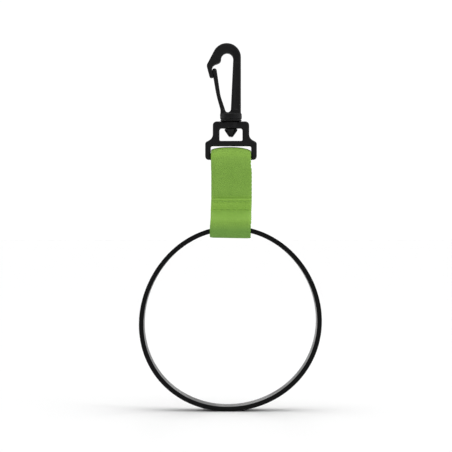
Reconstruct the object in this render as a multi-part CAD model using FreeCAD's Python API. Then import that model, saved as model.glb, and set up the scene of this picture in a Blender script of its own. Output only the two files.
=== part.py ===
import FreeCAD, Part
import math
import os

# A carrying strap for a training clicker: a moulded swivel snap hook, a loop of flat
# webbing sewn to it, and a round rubber wrist band that runs through the webbing.
#
# Everything is in millimetres. The origin is the centre of the round inside the hook's
# crown, where it hangs. X is to the right, Y is away from the front, Z is up.

# ---------------------------------------------------------------- driving dimensions

WEB_WIDTH = 15.0              # stock webbing
WEB_THICK = 1.1
SWIVEL_X = 1.4                # the swivel's vertical axis

HOOK_DEPTH = 4.2              # front to back
HOOK_EDGE = 0.4               # rounding of the moulded edges
CROWN_BORE = 2.2              # radius inside the crown
CROWN_OUTER = 5.2
CROWN_TOP = 5.95
SPINE_RIGHT = 5.05
HOOK_BASE = -19.7             # underside of the hook, where the collar starts
SPINE_TOP_INNER = 2.29
SPINE_LOW_INNER = 1.3
WINDOW_BOTTOM = -19.3
BASE_LEFT = -2.5
BASE_LAP = 0.5                # how far the hook's plate runs down into the collar

GATE_DEPTH = 3.4
GATE_AXIS_X = -1.6            # the bend at the gate's root
GATE_AXIS_Z = -18.65
GATE_ROOT = 0.84              # half the gate's thickness at the root
GATE_SOCKET_GAP = 0.10

COLLAR_RADIUS = 3.95
COLLAR_BOTTOM = -22.3
COLLAR_EDGE = 0.45
RUNNING_GAP = 0.07            # radial, shank in hub
AXIAL_GAP = 0.25              # barb under the hub
SHANK_RADIUS = 1.55
BARB_RADIUS = 2.25
BARB_SKIRT = 0.7
BARB_LENGTH = 3.15
BARB_TIP_RADIUS = 0.75
BARB_SLOT = 0.5
BARB_SLOT_ANGLES = (38.0, 128.0)  # about the swivel's axis, from X
BARB_SLOT_RISE = 0.7          # how far the slots run up into the shank

FRAME_DEPTH = 3.8
FRAME_EDGE = 0.75
FRAME_TOP = -22.7
FRAME_BOTTOM = -36.75
UPPER_HALF = 6.65             # half width outside the upper loop
LOWER_HALF = 9.45             # half width outside the lower loop
FRAME_CORNER = 1.3            # corner radii of the outline
FLARE_TOP = -28.85
FLARE_TOP_ROUND = 2.2
FLARE_BOTTOM = -30.4
FLARE_BOTTOM_ROUND = 1.0
UPPER_WINDOW_HALF = 4.2
UPPER_WINDOW_TOP = -25.2
UPPER_WINDOW_BOTTOM = -29.85
WINDOW_TOP_ROUND = 0.6
WINDOW_LOW_ROUND = 0.4
SLOT_HALF = 7.7               # the slot that takes the webbing
SLOT_TOP = -31.75
SLOT_ROUND = 0.5
BAR_HEIGHT = 2.3              # the bar inside the webbing
BAR_DEPTH = 3.0
BAR_ROUND = 1.1               # corners of the bar's section
HUB_RADIUS = 2.7

BAR_TURN = 1.9                # inner radius of the webbing over the bar
LEG_GAP = 0.1                 # between the two legs where they reach the seam
LEG_BEND_LOW = -45.0
LEG_BEND_HIGH = -37.6
LEG_BULGE = 0.15
LEG_LOW_ROUND = 12.0
LEG_HIGH_ROUND = 6.0
LEG_LAP = 1.0                 # how far the legs run down into the seam
LAP_TOP = -50.9               # cut end of the webbing, on the front of the seam
SEAM_BOTTOM = -55.5
SEAM_ROWS = (-52.1, -54.9)
STITCH_PITCH = 2.25
STITCH_LENGTH = 1.85
STITCH_WIDTH = 0.55
STITCH_PROUD = 0.3
BEND_GAP = 0.1
SHOULDER_Z = -59.1            # where the loop turns down beside the band
LOOP_BOTTOM = -65.4
WAIST_SPREAD = 0.1            # the two layers part by this on each side under the hinge
WAIST_DROP = 0.4
WAIST_ROUND = 0.7
SHOULDER_ROUND = 1.8
FOOT_ROUND = 1.2

BAND_OUTER = 33.7
BAND_THICK = 1.7
BAND_WIDTH = 12.0
BAND_FLOOR = -128.45          # lowest point of the band
BAND_EDGE = 0.35
BAND_SIDE_GAP = 0.25

SHORTEST_EDGE = 0.02          # arcs that end this close together share a point

# ---------------------------------------------------------------- worked out from them

BAR_AXIS_Z = FRAME_BOTTOM + BAR_HEIGHT / 2
SEAM_HALF = 1.5 * WEB_THICK                          # three layers at the seam
BEND_RADIUS = WEB_THICK                              # two layers below the seam
BEND_Z = SEAM_BOTTOM - BEND_GAP - BEND_RADIUS
BAND_CENTRE_Z = BAND_FLOOR + BAND_OUTER
BARB_TOP = UPPER_WINDOW_TOP - AXIAL_GAP
LOOP_HALF = BAND_WIDTH / 2 + BAND_SIDE_GAP + WEB_THICK / 2   # middle of the webbing beside the band


# ---------------------------------------------------------------- outlines

def vector_xz(x, z, y=0.0):
    return FreeCAD.Vector(x, y, z)


def vector_yz(y, z, x=0.0):
    return FreeCAD.Vector(x, y, z)


def unit(a, b):
    """Direction from a to b, and the distance."""
    length = math.hypot(b[0] - a[0], b[1] - a[1])
    return (b[0] - a[0]) / length, (b[1] - a[1]) / length, length


def rounded_edges(corners, place):
    """Lines and tangent arcs round the corners (u, v, radius), mapped into space by place."""
    count = len(corners)
    starts, middles, ends = [], [], []
    for i, (u, v, radius) in enumerate(corners):
        if radius == 0:
            starts.append((u, v))
            middles.append(None)
            ends.append((u, v))
            continue
        back = unit((u, v), corners[i - 1])
        on = unit((u, v), corners[(i + 1) % count])
        half_turn = math.acos(back[0] * on[0] + back[1] * on[1]) / 2
        reach = radius / math.tan(half_turn)
        start = (u + back[0] * reach, v + back[1] * reach)
        end = (u + on[0] * reach, v + on[1] * reach)
        inward = unit((u, v), ((start[0] + end[0]) / 2, (start[1] + end[1]) / 2))
        depth = radius / math.sin(half_turn) - radius
        starts.append(start)
        middles.append((u + inward[0] * depth, v + inward[1] * depth))
        ends.append(end)
    edges = []
    for i in range(count):
        following = (i + 1) % count
        gap = math.hypot(starts[following][0] - ends[i][0], starts[following][1] - ends[i][1])
        if gap < SHORTEST_EDGE:
            ends[i] = starts[following]
        if middles[i]:
            edges.append(Part.Arc(place(*starts[i]), place(*middles[i]), place(*ends[i])).toShape())
        if gap >= SHORTEST_EDGE:
            edges.append(Part.LineSegment(place(*ends[i]), place(*starts[following])).toShape())
    return edges


def plate(corners, depth):
    """The outline with these corners (x, z, radius), from front to back, centred on Y."""
    wire = Part.Wire(rounded_edges(corners, vector_xz))
    face = Part.Face(wire)
    face.translate(FreeCAD.Vector(0, -depth / 2, 0))
    return face.extrude(FreeCAD.Vector(0, depth, 0))


def offset_corners(corners, distance):
    """The corners of a line that runs beside an open path, to its left by distance."""
    result = []
    for i, (u, v, radius) in enumerate(corners):
        before = unit(corners[i - 1], (u, v)) if i else None
        after = unit((u, v), corners[i + 1]) if i < len(corners) - 1 else None
        before = before or after
        after = after or before
        normal_u = -(before[1] + after[1])
        normal_v = before[0] + after[0]
        length = math.hypot(normal_u, normal_v)
        normal_u /= length
        normal_v /= length
        mitre = distance / (-before[1] * normal_u + before[0] * normal_v)
        turn = before[0] * after[1] - before[1] * after[0]
        side = 1 if turn > 0 else -1
        new_radius = radius - side * distance if radius else 0
        result.append((u + normal_u * mitre, v + normal_v * mitre, new_radius))
    return result


def ribbon(path, thickness, width):
    """Flat webbing along a path of corners (y, z, radius), centred on X."""
    left = offset_corners(path, thickness / 2)
    right = offset_corners(path, -thickness / 2)
    wire = Part.Wire(rounded_edges(left + right[::-1], vector_yz))
    face = Part.Face(wire)
    face.translate(FreeCAD.Vector(-width / 2, 0, 0))
    return face.extrude(FreeCAD.Vector(width, 0, 0))


def round_edges_on(solid, radius, wanted):
    """Fillets the edges that wanted picks."""
    picked = [edge for edge in solid.Edges if wanted(edge)]
    return solid.makeFillet(radius, picked)


def on_face_y(depth):
    """Picks the outline edges on the front and back faces."""
    def wanted(edge):
        return all(abs(abs(point.y) - depth / 2) < 1e-4 for point in edge.discretize(5))
    return wanted


def upright_cylinder(radius, bottom, top, x=SWIVEL_X):
    return Part.makeCylinder(radius, top - bottom, FreeCAD.Vector(x, 0, bottom))


def cross_cylinder(radius, x, z, depth):
    """A cylinder along Y, centred on Y."""
    return Part.makeCylinder(radius, depth, FreeCAD.Vector(x, -depth / 2, z), FreeCAD.Vector(0, 1, 0))


# ---------------------------------------------------------------- the snap hook

def make_hook_body():
    """The hook with its crown, spine and nose, on the round collar above the swivel."""
    # Clockwise from the foot of the spine: over the crown, down the nose, and back inside.
    outline = [
        (SPINE_RIGHT, HOOK_BASE - BASE_LAP, 0),
        (SPINE_RIGHT, CROWN_TOP, CROWN_OUTER),
        (-3.29, CROWN_TOP, CROWN_OUTER),
        (-7.56, -2.18, 1.5),
        (-6.28, -7.0, 0.75),
        (-5.17, -6.6, 0.2),
        (-5.85, -2.54, 1.8),
        (-CROWN_BORE, -1.22, 1.6),
        (-CROWN_BORE, CROWN_BORE, CROWN_BORE),
        (SPINE_TOP_INNER, CROWN_BORE, CROWN_BORE),
        (SPINE_LOW_INNER, WINDOW_BOTTOM, 0.9),
        (BASE_LEFT, WINDOW_BOTTOM, 0.3),
        (BASE_LEFT, HOOK_BASE - BASE_LAP, 0),
    ]
    hook = plate(outline, HOOK_DEPTH)
    hook = round_edges_on(hook, HOOK_EDGE, on_face_y(HOOK_DEPTH))
    collar = upright_cylinder(COLLAR_RADIUS, COLLAR_BOTTOM, HOOK_BASE)
    collar = collar.makeFillet(COLLAR_EDGE, [edge for edge in collar.Edges if edge.Closed])
    socket = cross_cylinder(GATE_ROOT + GATE_SOCKET_GAP, GATE_AXIS_X, GATE_AXIS_Z, HOOK_DEPTH)
    return hook.fuse(collar).cut(socket).removeSplitter()


def make_gate():
    """The springy tongue that closes the hook, with a round root and a round head."""
    root_x, root_z = GATE_AXIS_X, GATE_AXIS_Z
    outline = [
        (-5.63, -3.3, 0.75),
        (-3.9, -3.3, 0.75),
        (-2.45, -13.3, 15.0),
        (root_x + GATE_ROOT, root_z, 0),
        (root_x - GATE_ROOT, root_z, 0),
        (-4.0, -12.9, 40.0),
    ]
    tongue = plate(outline, GATE_DEPTH)
    root = cross_cylinder(GATE_ROOT, root_x, root_z, GATE_DEPTH)
    return tongue.fuse(root).removeSplitter()


def make_swivel_stud():
    """The shank through the frame's hub, and the four barbed legs that hold it there."""
    barb_bottom = BARB_TOP - BARB_LENGTH
    shank = upright_cylinder(SHANK_RADIUS, BARB_TOP, COLLAR_BOTTOM)
    skirt = upright_cylinder(BARB_RADIUS, BARB_TOP - BARB_SKIRT, BARB_TOP)
    cone_height = BARB_LENGTH - BARB_SKIRT
    cone = Part.makeCone(BARB_TIP_RADIUS, BARB_RADIUS, cone_height, FreeCAD.Vector(SWIVEL_X, 0, barb_bottom))
    stud = shank.fuse(skirt).fuse(cone).removeSplitter()
    slot_height = BARB_LENGTH + BARB_SLOT_RISE
    for angle in BARB_SLOT_ANGLES:
        slot = Part.makeBox(3 * BARB_RADIUS, BARB_SLOT, slot_height)
        slot.translate(FreeCAD.Vector(-1.5 * BARB_RADIUS, -BARB_SLOT / 2, barb_bottom))
        slot.rotate(FreeCAD.Vector(0, 0, 0), FreeCAD.Vector(0, 0, 1), angle)
        slot.translate(FreeCAD.Vector(SWIVEL_X, 0, 0))
        stud = stud.cut(slot)
    return stud


# ---------------------------------------------------------------- the swivel frame

def make_swivel_frame():
    """Two loops in one moulding: a small one round the barb, a wide one for the webbing."""
    x = SWIVEL_X
    outline = [
        (x - UPPER_HALF, FRAME_TOP, FRAME_CORNER),
        (x + UPPER_HALF, FRAME_TOP, FRAME_CORNER),
        (x + UPPER_HALF, FLARE_TOP, FLARE_TOP_ROUND),
        (x + LOWER_HALF, FLARE_BOTTOM, FLARE_BOTTOM_ROUND),
        (x + LOWER_HALF, FRAME_BOTTOM, FRAME_CORNER),
        (x - LOWER_HALF, FRAME_BOTTOM, FRAME_CORNER),
        (x - LOWER_HALF, FLARE_BOTTOM, FLARE_BOTTOM_ROUND),
        (x - UPPER_HALF, FLARE_TOP, FLARE_TOP_ROUND),
    ]
    frame = plate(outline, FRAME_DEPTH)
    frame = round_edges_on(frame, FRAME_EDGE, on_face_y(FRAME_DEPTH))
    hub = upright_cylinder(HUB_RADIUS, UPPER_WINDOW_TOP, FRAME_TOP)
    frame = frame.fuse(hub)
    window = [
        (x - UPPER_WINDOW_HALF, UPPER_WINDOW_TOP, WINDOW_TOP_ROUND),
        (x + UPPER_WINDOW_HALF, UPPER_WINDOW_TOP, WINDOW_TOP_ROUND),
        (x + UPPER_WINDOW_HALF, UPPER_WINDOW_BOTTOM, WINDOW_LOW_ROUND),
        (x - UPPER_WINDOW_HALF, UPPER_WINDOW_BOTTOM, WINDOW_LOW_ROUND),
    ]
    bar_top = FRAME_BOTTOM + BAR_HEIGHT
    slot = [
        (x - SLOT_HALF, SLOT_TOP, SLOT_ROUND),
        (x + SLOT_HALF, SLOT_TOP, SLOT_ROUND),
        (x + SLOT_HALF, bar_top, 0),
        (x - SLOT_HALF, bar_top, 0),
    ]
    frame = frame.cut(plate(window, 2 * FRAME_DEPTH)).cut(plate(slot, 2 * FRAME_DEPTH))
    bore = upright_cylinder(SHANK_RADIUS + RUNNING_GAP, UPPER_WINDOW_TOP - 0.1, FRAME_TOP + 0.1)
    return frame.cut(bore).cut(bar_trimmings()).removeSplitter()


def bar_trimmings():
    """What is cut away along the slot to leave a round-edged bar for the webbing."""
    size = 2 * FRAME_DEPTH
    block = Part.makeBox(2 * SLOT_HALF, size, BAR_HEIGHT + 1)
    block.translate(FreeCAD.Vector(SWIVEL_X - SLOT_HALF, -size / 2, FRAME_BOTTOM - 1))
    half_depth = BAR_DEPTH / 2
    half_height = BAR_HEIGHT / 2
    section = [
        (-half_depth, BAR_AXIS_Z - half_height, BAR_ROUND),
        (half_depth, BAR_AXIS_Z - half_height, BAR_ROUND),
        (half_depth, BAR_AXIS_Z + half_height, BAR_ROUND),
        (-half_depth, BAR_AXIS_Z + half_height, BAR_ROUND),
    ]
    face = Part.Face(Part.Wire(rounded_edges(section, vector_yz)))
    face.translate(FreeCAD.Vector(SWIVEL_X - SLOT_HALF, 0, 0))
    bar = face.extrude(FreeCAD.Vector(2 * SLOT_HALF, 0, 0))
    return block.cut(bar)


# ---------------------------------------------------------------- the webbing

def make_strap_upper():
    """The webbing over the frame's bar and down to the seam, where it is three layers thick."""
    turn = BAR_TURN + WEB_THICK / 2
    top = BAR_AXIS_Z + turn
    legs_meet = LAP_TOP - LEG_LAP
    front = -LEG_GAP / 2
    back = WEB_THICK + LEG_GAP / 2
    path = [
        (front, legs_meet, 0),
        (front, LEG_BEND_LOW, LEG_LOW_ROUND),
        (-turn - LEG_BULGE, LEG_BEND_HIGH, LEG_HIGH_ROUND),
        (-turn, top, turn),
        (turn, top, turn),
        (turn + LEG_BULGE, LEG_BEND_HIGH, LEG_HIGH_ROUND),
        (back, LEG_BEND_LOW, LEG_LOW_ROUND),
        (back, legs_meet, 0),
    ]
    loop = ribbon(path, WEB_THICK, WEB_WIDTH)
    seam = Part.makeBox(WEB_WIDTH, 2 * SEAM_HALF, LAP_TOP - SEAM_BOTTOM)
    seam.translate(FreeCAD.Vector(-WEB_WIDTH / 2, -SEAM_HALF, SEAM_BOTTOM))
    strap = loop.fuse(seam).removeSplitter()
    strap.translate(FreeCAD.Vector(SWIVEL_X, 0, 0))
    return strap


def make_strap_lower():
    """The webbing below the seam, which opens into a loop round the wrist band."""
    half = WEB_THICK / 2
    low = LOOP_BOTTOM + WEB_THICK / 2
    path = [
        (-half, BEND_Z, 0),
        (-half - WAIST_SPREAD, BEND_Z - WAIST_DROP, WAIST_ROUND),
        (-LOOP_HALF, SHOULDER_Z, SHOULDER_ROUND),
        (-LOOP_HALF, low, FOOT_ROUND),
        (LOOP_HALF, low, FOOT_ROUND),
        (LOOP_HALF, SHOULDER_Z, SHOULDER_ROUND),
        (half + WAIST_SPREAD, BEND_Z - WAIST_DROP, WAIST_ROUND),
        (half, BEND_Z, 0),
    ]
    loop = ribbon(path, WEB_THICK, WEB_WIDTH)
    start = FreeCAD.Vector(-WEB_WIDTH / 2, 0, BEND_Z)
    top = Part.makeCylinder(BEND_RADIUS, WEB_WIDTH, start, FreeCAD.Vector(1, 0, 0))
    strap = loop.fuse(top).removeSplitter()
    strap.translate(FreeCAD.Vector(SWIVEL_X, 0, 0))
    return strap


def make_stitches(face_y, side):
    """The stitches of both rows that show on one face of the seam."""
    count = int(WEB_WIDTH / STITCH_PITCH)
    first = SWIVEL_X - (count - 1) * STITCH_PITCH / 2
    near_y = min(face_y, face_y + side * STITCH_PROUD)
    stitches = []
    for row_z in SEAM_ROWS:
        for i in range(count):
            left = first + i * STITCH_PITCH - STITCH_LENGTH / 2
            stitch = Part.makeBox(STITCH_LENGTH, STITCH_PROUD, STITCH_WIDTH)
            stitch.translate(FreeCAD.Vector(left, near_y, row_z - STITCH_WIDTH / 2))
            stitches.append(stitch)
    return Part.makeCompound(stitches)


# ---------------------------------------------------------------- the wrist band

def make_wrist_band():
    """A plain round band with softened rims."""
    start = FreeCAD.Vector(SWIVEL_X, -BAND_WIDTH / 2, BAND_CENTRE_Z)
    along = FreeCAD.Vector(0, 1, 0)
    outside = Part.makeCylinder(BAND_OUTER, BAND_WIDTH, start, along)
    inside = Part.makeCylinder(BAND_OUTER - BAND_THICK, BAND_WIDTH, start, along)
    band = outside.cut(inside)
    return round_edges_on(band, BAND_EDGE, on_face_y(BAND_WIDTH))


# ---------------------------------------------------------------- the whole strap

def make_parts():
    return {
        "hook_body": make_hook_body(),
        "gate": make_gate(),
        "swivel_stud": make_swivel_stud(),
        "swivel_frame": make_swivel_frame(),
        "strap_upper_loop": make_strap_upper(),
        "strap_lower_loop": make_strap_lower(),
        "needle_thread": make_stitches(-SEAM_HALF, -1),
        "bobbin_thread": make_stitches(SEAM_HALF, 1),
        "wrist_band": make_wrist_band(),
    }


def main():
    os.makedirs("parts", exist_ok=True)
    for name, shape in make_parts().items():
        print(name, shape.isValid(), len(shape.Solids), round(shape.Volume, 1))
        shape.exportStep("parts/" + name + ".step")


main()
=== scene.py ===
"""A wrist strap for a training clicker: snap hook, swivel frame, green webbing and a round rubber band."""
from math import ceil, cos, pi, radians, sin, tan

import bpy
import numpy as np
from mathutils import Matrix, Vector


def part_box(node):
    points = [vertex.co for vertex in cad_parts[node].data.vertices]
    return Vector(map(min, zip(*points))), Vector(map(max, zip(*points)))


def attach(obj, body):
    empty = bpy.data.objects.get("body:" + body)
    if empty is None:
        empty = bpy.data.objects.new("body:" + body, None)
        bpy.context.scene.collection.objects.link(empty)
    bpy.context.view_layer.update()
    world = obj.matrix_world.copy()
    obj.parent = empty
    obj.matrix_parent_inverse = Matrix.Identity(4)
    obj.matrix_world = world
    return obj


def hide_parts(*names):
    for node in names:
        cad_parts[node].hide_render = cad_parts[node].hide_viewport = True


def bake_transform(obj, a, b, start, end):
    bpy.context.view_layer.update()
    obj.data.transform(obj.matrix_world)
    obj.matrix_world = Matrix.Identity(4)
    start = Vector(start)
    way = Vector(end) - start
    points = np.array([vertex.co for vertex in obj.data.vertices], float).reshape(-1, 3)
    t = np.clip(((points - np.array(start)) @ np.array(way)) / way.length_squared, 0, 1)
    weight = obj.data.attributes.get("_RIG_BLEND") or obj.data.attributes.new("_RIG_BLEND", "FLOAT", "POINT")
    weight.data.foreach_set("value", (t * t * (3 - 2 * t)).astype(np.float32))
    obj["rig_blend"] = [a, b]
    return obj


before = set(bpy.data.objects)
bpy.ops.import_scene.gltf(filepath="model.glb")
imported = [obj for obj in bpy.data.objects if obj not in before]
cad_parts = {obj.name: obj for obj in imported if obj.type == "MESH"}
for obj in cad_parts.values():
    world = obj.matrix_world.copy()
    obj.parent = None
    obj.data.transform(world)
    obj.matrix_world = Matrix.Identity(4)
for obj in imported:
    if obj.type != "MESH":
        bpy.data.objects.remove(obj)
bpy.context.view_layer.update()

# All sizes below are in millimetres, and meshes are scaled to metres when they are made.
MM = 0.001


def node_box(node):
    """Lowest and highest corner of a node, in millimetres."""
    low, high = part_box(node)
    return Vector(low) / MM, Vector(high) / MM


# The line that the hook turns on, and the levels that the pieces meet at.
stud_low, stud_high = node_box("swivel_stud")
frame_low, frame_high = node_box("swivel_frame")
band_low, band_high = node_box("wrist_band")
SWIVEL_X = (stud_low.x + stud_high.x) / 2
FRAME_TOP = frame_high.z
FRAME_FOOT = frame_low.z
BAND_FLOOR = band_low.z
BAND_OUTER = (band_high.x - band_low.x) / 2
BAND_WIDTH = band_high.y - band_low.y
BAND_THICK = 1.7
BAND_CENTRE = (band_high.z + band_low.z) / 2

# The webbing, its seam's two rows of stitches, and the level of its lapped end.
WEB_HALF = 7.5
WEB_THICK = 1.02
PICK = 0.73
STATIONS_PER_PICK = 6
SEAM_ROWS = (-52.1, -54.9)
LAP_TOP = -50.9


# ---------------------------------------------------------------- outlines and fields


def rounded(corners, closed=True, chord=0.12):
    """Points along straight runs joined by arcs. Each corner is (across, up, radius)."""
    count = len(corners)
    points = []
    for i, (u, v, radius) in enumerate(corners):
        here = Vector((u, v))
        if not closed and i in (0, count - 1):
            points.append(here)
            continue
        back = (Vector(corners[i - 1][:2]) - here).normalized()
        on = (Vector(corners[(i + 1) % count][:2]) - here).normalized()
        between = back.angle(on)
        if radius == 0 or between > pi - 0.01:
            points.append(here)
            continue
        reach = radius / tan(between / 2)
        centre = here + (back + on).normalized() * (radius / sin(between / 2))
        first = here + back * reach - centre
        turn = (pi - between) * (1 if back.x * on.y - back.y * on.x < 0 else -1)
        steps = max(2, ceil(radius * (pi - between) / chord))
        for k in range(steps + 1):
            a = turn * k / steps
            spoke = (first.x * cos(a) - first.y * sin(a), first.x * sin(a) + first.y * cos(a))
            points.append(centre + Vector(spoke))
    return np.array([(p.x, p.y) for p in points])


def outline_field(outline, u, v):
    """Distance from each (u, v) to a closed outline, below zero inside it."""
    nearest = np.full(u.shape, 1e9)
    inside = np.zeros(u.shape, bool)
    for (u0, v0), (u1, v1) in zip(outline, np.roll(outline, -1, axis=0)):
        du, dv = u1 - u0, v1 - v0
        span = du * du + dv * dv
        if span < 1e-12:
            continue
        along = np.clip(((u - u0) * du + (v - v0) * dv) / span, 0, 1)
        nearest = np.minimum(nearest, np.hypot(u - u0 - along * du, v - v0 - along * dv))
        if dv != 0:
            crosses = (v0 <= v) != (v1 <= v)
            inside ^= crosses & (u < u0 + (v - v0) * du / dv)
    return np.where(inside, -nearest, nearest)


def smooth(a, b, t):
    """0 at a, 1 at b, and smooth between them."""
    s = np.clip((t - a) / (b - a), 0, 1)
    return s * s * (3 - 2 * s)


def plate_field(flat, level, depth, edge):
    """A plate of an outline's field, depth thick about level zero, with every edge rounded."""
    side = flat + edge
    face = np.abs(level) - depth / 2 + edge
    corner = np.hypot(np.maximum(side, 0), np.maximum(face, 0))
    return np.minimum(np.maximum(side, face), 0) + corner - edge


def box_field(offsets, halves, edge):
    """A block with rounded edges, from each axis's distance to its centre."""
    reach = [np.abs(d) - h + edge for d, h in zip(offsets, halves)]
    outer = np.sqrt(sum(np.maximum(r, 0) ** 2 for r in reach))
    inner = np.minimum(np.maximum(np.maximum(reach[0], reach[1]), reach[2]), 0)
    return outer + inner - edge


def joined(a, b, fillet):
    """Two fields as one solid, with a fillet where they meet."""
    mix = np.clip(0.5 + 0.5 * (b - a) / fillet, 0, 1)
    return b + (a - b) * mix - fillet * mix * (1 - mix)


def cut(a, b, fillet):
    """Field a with b taken away."""
    return -joined(-a, b, fillet)


# ---------------------------------------------------------------- meshes


def link(name, data):
    """A new object in the scene, from its mesh, lamp or camera data."""
    obj = bpy.data.objects.new(name, data)
    bpy.context.scene.collection.objects.link(obj)
    return obj


def finish_mesh(name, points, faces, material, relax=0):
    """A smooth-shaded piece from millimetre points, at the origin."""
    mesh = bpy.data.meshes.new(name)
    mesh.from_pydata((np.asarray(points) * MM).tolist(), [], faces)
    mesh.validate()
    mesh.shade_smooth()
    mesh.materials.append(material)
    obj = link(name, mesh)
    if relax:
        even = obj.modifiers.new("Relax", "SMOOTH")
        even.iterations = relax
        even.factor = 0.5
        settle(obj)
    return obj


def settle(obj):
    """Applies a piece's modifiers, so that a plain mesh is left."""
    graph = bpy.context.evaluated_depsgraph_get()
    plain = bpy.data.meshes.new_from_object(obj.evaluated_get(graph))
    obj.modifiers.clear()
    obj.data = plain
    return obj


def moulded(name, low, high, cell, field, material, relax=3):
    """The skin of a moulded piece: the surface where field(x, y, z) is zero."""
    axes = [np.arange(a - 3 * cell, b + 3 * cell, cell) for a, b in zip(low, high)]
    x, y, z = np.meshgrid(*axes, indexing="ij", sparse=True)
    value = np.broadcast_to(field(x, y, z), [len(a) for a in axes]).astype(np.float32)
    solid = value < 0
    size = np.array(value.shape)
    cells = tuple(size - 1)

    def corner(array, i, j, k):
        return array[i:cells[0] + i, j:cells[1] + j, k:cells[2] + k]

    total = np.zeros(cells + (3,), np.float32)
    hits = np.zeros(cells, np.float32)
    for axis in range(3):
        other = [a for a in range(3) if a != axis]
        for p in (0, 1):
            for q in (0, 1):
                start = [0, 0, 0]
                start[other[0]], start[other[1]] = p, q
                stop = list(start)
                stop[axis] = 1
                a, b = corner(value, *start), corner(value, *stop)
                crossed = (a < 0) != (b < 0)
                share = np.where(crossed, a / np.where(crossed, a - b, 1), 0)
                hits += crossed
                for n in range(3):
                    total[..., n] += np.where(crossed, share if n == axis else start[n], 0)
    used = hits > 0
    number = np.full(cells, -1, np.int64)
    number[used] = np.arange(used.sum())
    where = np.argwhere(used)
    origin = np.array([a[0] for a in axes])
    points = origin + (where + total[used] / hits[used][:, None]) * cell
    faces = []
    for axis in range(3):
        b, c = (axis + 1) % 3, (axis + 2) % 3
        a_low = [slice(1, -1)] * 3
        a_high = [slice(1, -1)] * 3
        a_low[axis], a_high[axis] = slice(0, -1), slice(1, None)
        first, second = solid[tuple(a_low)], solid[tuple(a_high)]
        for flip, change in ((False, first & ~second), (True, ~first & second)):
            spot = np.argwhere(change) + 1
            spot[:, axis] -= 1
            ring = []
            for db, dc in ((0, 0), (-1, 0), (-1, -1), (0, -1)):
                step = spot.copy()
                step[:, b] += db
                step[:, c] += dc
                ring.append(number[step[:, 0], step[:, 1], step[:, 2]])
            quad = np.stack(ring, axis=1)
            faces.append(quad[:, ::-1] if flip else quad)
    return finish_mesh(name, points, np.concatenate(faces).tolist(), material, relax)


# ---------------------------------------------------------------- shader groups


VECTOR = ("Vector", "NodeSocketVector", None)
NUMBER = "NodeSocketFloat"


def new_group(name, inputs, outputs):
    """A shader group from (label, kind, default) inputs and (label, kind) outputs."""
    tree = bpy.data.node_groups.new(name, "ShaderNodeTree")
    for label, kind, default in inputs:
        socket = tree.interface.new_socket(label, in_out="INPUT", socket_type=kind)
        if default is not None:
            socket.default_value = default
    for label, kind in outputs:
        tree.interface.new_socket(label, in_out="OUTPUT", socket_type=kind)
    return tree, tree.nodes.new("NodeGroupInput"), tree.nodes.new("NodeGroupOutput")


def plug(tree, value, socket):
    """Links an output to a socket, or sets the socket to a constant."""
    if isinstance(value, bpy.types.NodeSocket):
        tree.links.new(value, socket)
    else:
        socket.default_value = value


def math_node(tree, operation, *values):
    node = tree.nodes.new("ShaderNodeMath")
    node.operation = operation
    for value, socket in zip(values, node.inputs):
        plug(tree, value, socket)
    return node.outputs[0]


def times(tree, a, b):
    return math_node(tree, "MULTIPLY", a, b)


def plus(tree, a, b):
    return math_node(tree, "ADD", a, b)


def minus(tree, a, b):
    return math_node(tree, "SUBTRACT", a, b)


def split_xyz(tree, vector):
    node = tree.nodes.new("ShaderNodeSeparateXYZ")
    tree.links.new(vector, node.inputs[0])
    return node.outputs


def uv_map(tree, name):
    node = tree.nodes.new("ShaderNodeUVMap")
    node.uv_map = name
    return node.outputs[0]


def ramp(tree, value, from_low, from_high, to_low, to_high):
    """A smooth step between two levels of a value."""
    node = tree.nodes.new("ShaderNodeMapRange")
    node.interpolation_type = "SMOOTHSTEP"
    names = ("Value", "From Min", "From Max", "To Min", "To Max")
    for name, number in zip(names, (value, from_low, from_high, to_low, to_high)):
        plug(tree, number, node.inputs[name])
    return node.outputs["Result"]


def noise(tree, vector, scale, detail, rough):
    node = tree.nodes.new("ShaderNodeTexNoise")
    for name, value in (("Vector", vector), ("Scale", scale), ("Detail", detail), ("Roughness", rough)):
        plug(tree, value, node.inputs[name])
    return node.outputs[0]


def tint(tree, share, a, b):
    """Colour a with a share of colour b."""
    node = tree.nodes.new("ShaderNodeMix")
    node.data_type = "RGBA"
    plug(tree, share, node.inputs["Factor"])
    plug(tree, a, node.inputs[6])
    plug(tree, b, node.inputs[7])
    return node.outputs[2]


def bump(tree, height, distance, strength):
    node = tree.nodes.new("ShaderNodeBump")
    node.inputs["Distance"].default_value = distance
    node.inputs["Strength"].default_value = strength
    tree.links.new(height, node.inputs["Height"])
    return node.outputs["Normal"]


def place_group(tree, group, **values):
    node = tree.nodes.new("ShaderNodeGroup")
    node.node_tree = group
    for name, value in values.items():
        plug(tree, value, node.inputs[name.replace("_", " ")])
    return node


def build_moulded_grain():
    """Fine spark-eroded grain with slow patches of more and less polish."""
    tree, inside, outside = new_group(
        "Moulded grain",
        (VECTOR, ("Grain", NUMBER, 4000.0), ("Patches", NUMBER, 220.0)),
        (("Height", NUMBER), ("Polish", NUMBER)),
    )
    fine = noise(tree, inside.outputs["Vector"], inside.outputs["Grain"], 2.0, 0.6)
    slow = noise(tree, inside.outputs["Vector"], inside.outputs["Patches"], 3.0, 0.5)
    tree.links.new(plus(tree, fine, times(tree, slow, 0.6)), outside.inputs["Height"])
    tree.links.new(ramp(tree, slow, 0.35, 0.68, 0.0, 1.0), outside.inputs["Polish"])
    return tree


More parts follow.
